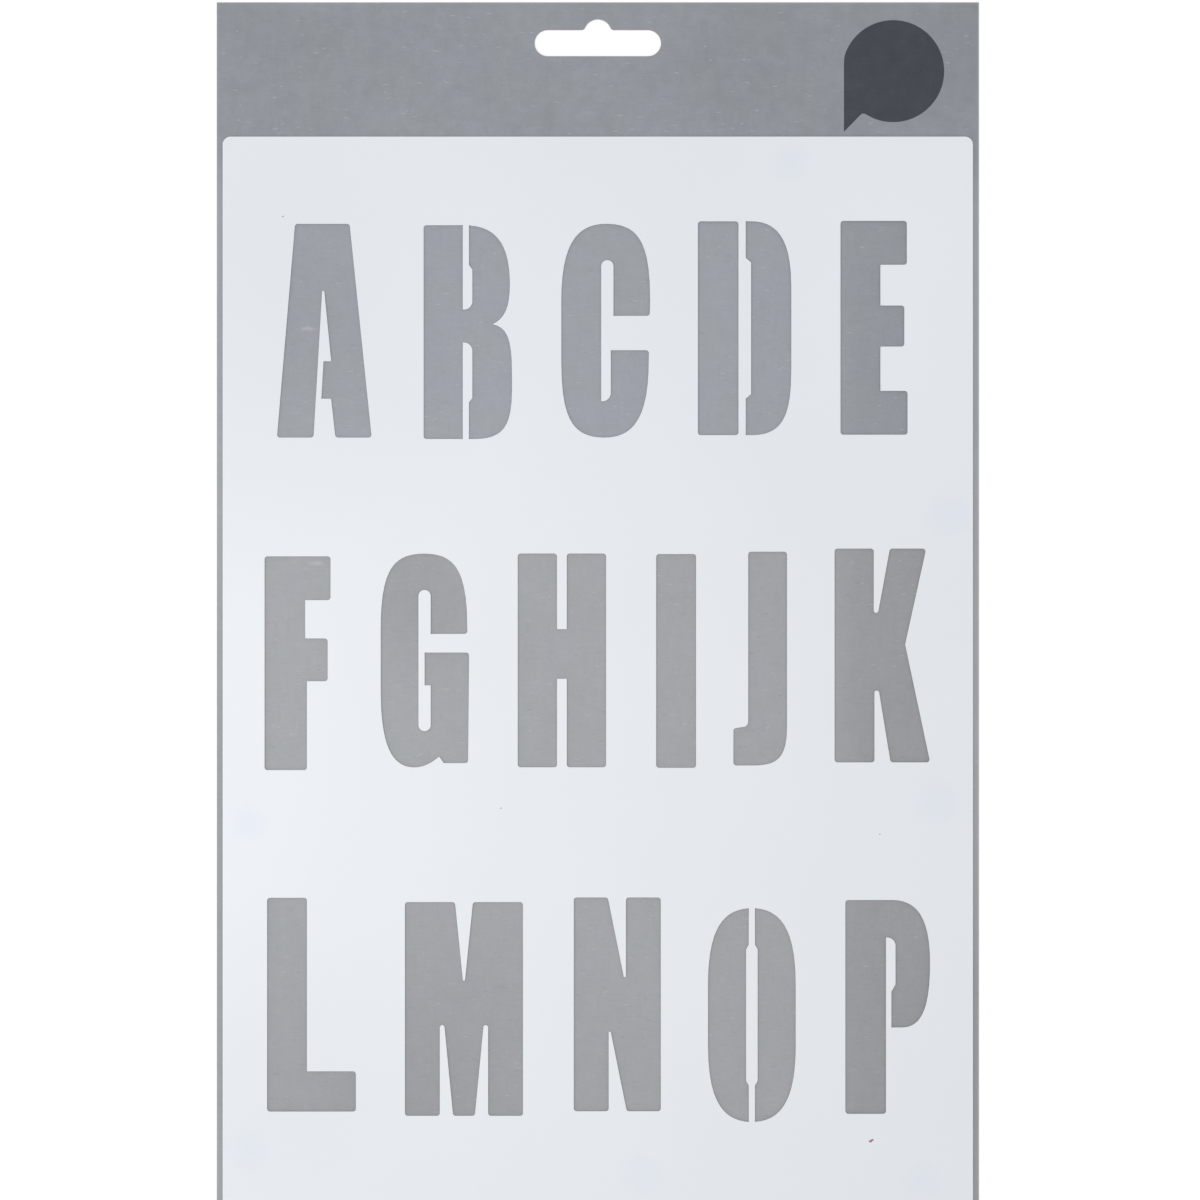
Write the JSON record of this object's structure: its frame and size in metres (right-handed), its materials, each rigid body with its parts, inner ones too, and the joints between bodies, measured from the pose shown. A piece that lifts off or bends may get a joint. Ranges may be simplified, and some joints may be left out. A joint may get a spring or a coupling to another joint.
{
  "type": "lettering stencil",
  "caption": "Frosted plastic sheet cut with bold capital letters, held by glue spots on a grey board card with a hang slot.",
  "frame": {"origin": "middle of the hang card's back", "axes": "+X across the card to the reader's right, +Y up the card to its hang slot, +Z out of its face"},
  "size_m": [0.2134, 0.3394, 0.0011],
  "materials": {
    "grey_board": "uncoated grey board with fine fibres",
    "frosted_plastic": "frosted translucent sheet with a fine even grain",
    "glue": "soft removable glue, slightly glossy"
  },
  "bodies": {
    "card": {"hang_card": "grey_board", "glue_spot_top": "glue", "glue_spot_right_upper": "glue", "glue_spot_right_lower": "glue", "glue_spot_left": "glue", "glue_spot_bottom_left": "glue", "glue_spot_bottom_middle": "glue", "glue_spot_bottom_right": "glue"},
    "sheet": {"stencil_sheet": "frosted_plastic"}
  },
  "joints": [
    {"name": "sheet_lift", "type": "slide", "parent": "card", "child": "sheet", "axis": [0, 0, 1], "range_m": [0, 0.05]}
  ]
}
